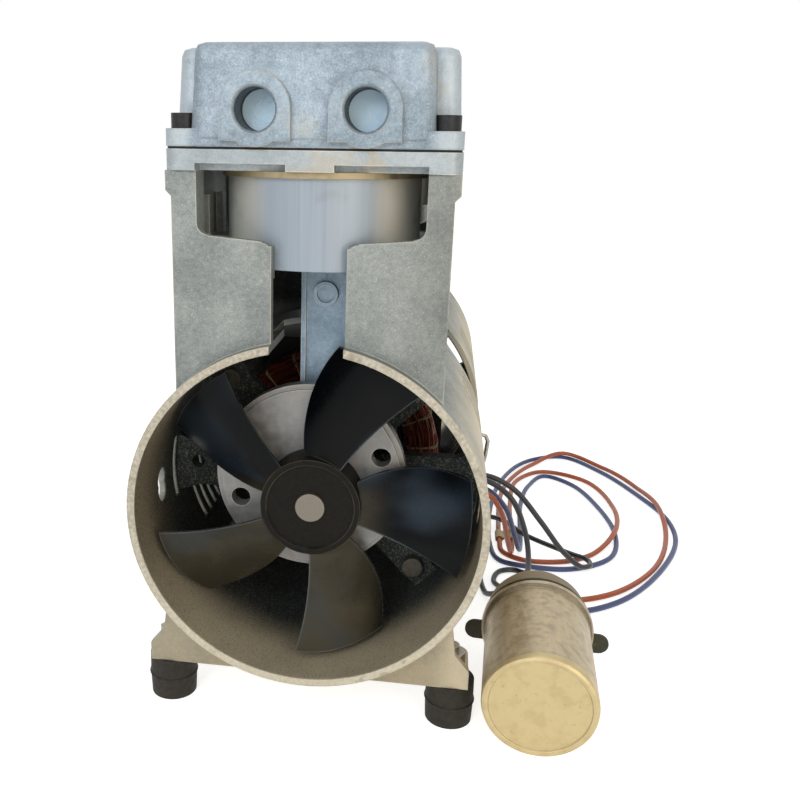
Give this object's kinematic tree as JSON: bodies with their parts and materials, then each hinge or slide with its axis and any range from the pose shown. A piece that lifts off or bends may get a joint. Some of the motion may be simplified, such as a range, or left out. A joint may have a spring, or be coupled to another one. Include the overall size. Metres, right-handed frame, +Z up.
{
  "type": "vacuum pump",
  "caption": "Twin rocking-piston vacuum pump: two cast ends with fans and heads on an open-frame motor, with a loose run capacitor and leads.",
  "frame": {"origin": "centre of the four feet, on the floor they stand on", "axes": "+X to the right of the end seen in the picture, +Y back along the crankshaft, +Z up"},
  "size_m": [0.2695, 0.3662, 0.2635],
  "materials": {
    "cast_housing": "rough sand-cast",
    "cast_head": "rough cast, weathered",
    "sleeve_aluminium": "satin, fine turned lines",
    "brass_seal": "dull",
    "gasket_sheet": "matte",
    "black_oxide": "satin black",
    "spring_steel": "smooth",
    "fan_gloss": "gloss black",
    "disc_metal": "machined, scratched",
    "rod_aluminium": "die-cast",
    "bearing_steel": "ground",
    "cup_material": "matte",
    "plated_steel": "zinc plated",
    "shaft_steel": "satin",
    "laminations": "dull, varnished",
    "enamelled_copper": "varnished",
    "foot_rubber": "matte",
    "tinned_can": "warm satin tin",
    "cover_plastic": "matte",
    "clamp_steel": "dark olive",
    "bush_rubber": "matte",
    "orange_insulation": "satin",
    "blue_insulation": "satin",
    "black_insulation": "satin",
    "tape": "matte"
  },
  "bodies": {
    "frame": {"front_housing": "cast_housing", "rear_housing": "cast_housing", "front_sleeve": "sleeve_aluminium", "rear_sleeve": "sleeve_aluminium", "front_sleeve_seal": "brass_seal", "rear_sleeve_seal": "brass_seal", "front_valve_plate": "cast_head", "rear_valve_plate": "cast_head", "front_head": "cast_head", "rear_head": "cast_head", "front_head_gasket": "gasket_sheet", "rear_head_gasket": "gasket_sheet", "front_head_screws": "black_oxide", "rear_head_screws": "black_oxide", "front_main_bearing": "bearing_steel", "rear_main_bearing": "bearing_steel", "stator_core": "laminations", "front_end_winding": "enamelled_copper", "rear_end_winding": "enamelled_copper", "through_bolts": "plated_steel", "through_bolt_nuts": "plated_steel", "front_left_foot": "foot_rubber", "front_right_foot": "foot_rubber", "rear_left_foot": "foot_rubber", "rear_right_foot": "foot_rubber", "foot_studs": "plated_steel", "foot_nuts": "plated_steel", "foot_inserts": "plated_steel", "capacitor_can": "tinned_can", "capacitor_cover": "cover_plastic", "capacitor_clamp": "clamp_steel", "lead_bush": "bush_rubber", "lead_clip": "plated_steel", "lead_orange": "orange_insulation", "lead_blue": "blue_insulation", "capacitor_lead_long": "black_insulation", "capacitor_lead_short": "black_insulation", "lead_terminals": "plated_steel", "lead_tag": "tape"},
    "rotor": {"crankshaft": "shaft_steel", "rotor_core": "laminations", "rotor_end_rings": "rod_aluminium", "front_fan": "fan_gloss", "rear_fan": "fan_gloss", "front_counterweight": "disc_metal", "rear_counterweight": "disc_metal"},
    "front_rod": {"front_connecting_rod": "rod_aluminium", "front_rod_bearing": "bearing_steel", "front_piston_cup": "cup_material", "front_cup_retainer": "rod_aluminium", "front_retainer_screw": "plated_steel"},
    "rear_rod": {"rear_connecting_rod": "rod_aluminium", "rear_rod_bearing": "bearing_steel", "rear_piston_cup": "cup_material", "rear_cup_retainer": "rod_aluminium", "rear_retainer_screw": "plated_steel"},
    "front_intake_leaf": {"front_intake_reed": "spring_steel"},
    "front_exhaust_leaf": {"front_exhaust_reed": "spring_steel"},
    "rear_intake_leaf": {"rear_intake_reed": "spring_steel"},
    "rear_exhaust_leaf": {"rear_exhaust_reed": "spring_steel"}
  },
  "joints": [
    {"name": "crank_spin", "type": "hinge", "parent": "frame", "child": "rotor", "pos_m": [0, 0, 0.0915], "axis": [0, 1, 0], "continuous": true},
    {"name": "front_crank_pin", "type": "hinge", "parent": "rotor", "child": "front_rod", "pos_m": [0.00154, -0.1009, 0.08727], "axis": [0, 1, 0], "continuous": true},
    {"name": "rear_crank_pin", "type": "hinge", "parent": "rotor", "child": "rear_rod", "pos_m": [-0.00154, 0.1009, 0.09573], "axis": [0, 1, 0], "continuous": true},
    {"name": "front_intake_reed_bend", "type": "hinge", "parent": "frame", "child": "front_intake_leaf", "pos_m": [0.014, -0.1139, 0.2241], "axis": [-1, 0, 0], "range_deg": [0, 5], "stiffness_Nm_per_rad": 0.02, "springref_deg": -1.72},
    {"name": "front_exhaust_reed_bend", "type": "hinge", "parent": "frame", "child": "front_exhaust_leaf", "pos_m": [-0.014, -0.1139, 0.2256], "axis": [1, 0, 0], "range_deg": [0, 5], "stiffness_Nm_per_rad": 0.02, "springref_deg": -1.72},
    {"name": "rear_intake_reed_bend", "type": "hinge", "parent": "frame", "child": "rear_intake_leaf", "pos_m": [-0.014, 0.1139, 0.2241], "axis": [1, 0, 0], "range_deg": [0, 5], "stiffness_Nm_per_rad": 0.02, "springref_deg": -1.72},
    {"name": "rear_exhaust_reed_bend", "type": "hinge", "parent": "frame", "child": "rear_exhaust_leaf", "pos_m": [0.014, 0.1139, 0.2256], "axis": [-1, 0, 0], "range_deg": [0, 5], "stiffness_Nm_per_rad": 0.02, "springref_deg": -1.72}
  ],
  "couplings": [
    {"joint": "front_crank_pin", "follows": "crank_spin", "ratio": -1},
    {"joint": "rear_crank_pin", "follows": "crank_spin", "ratio": -1}
  ]
}
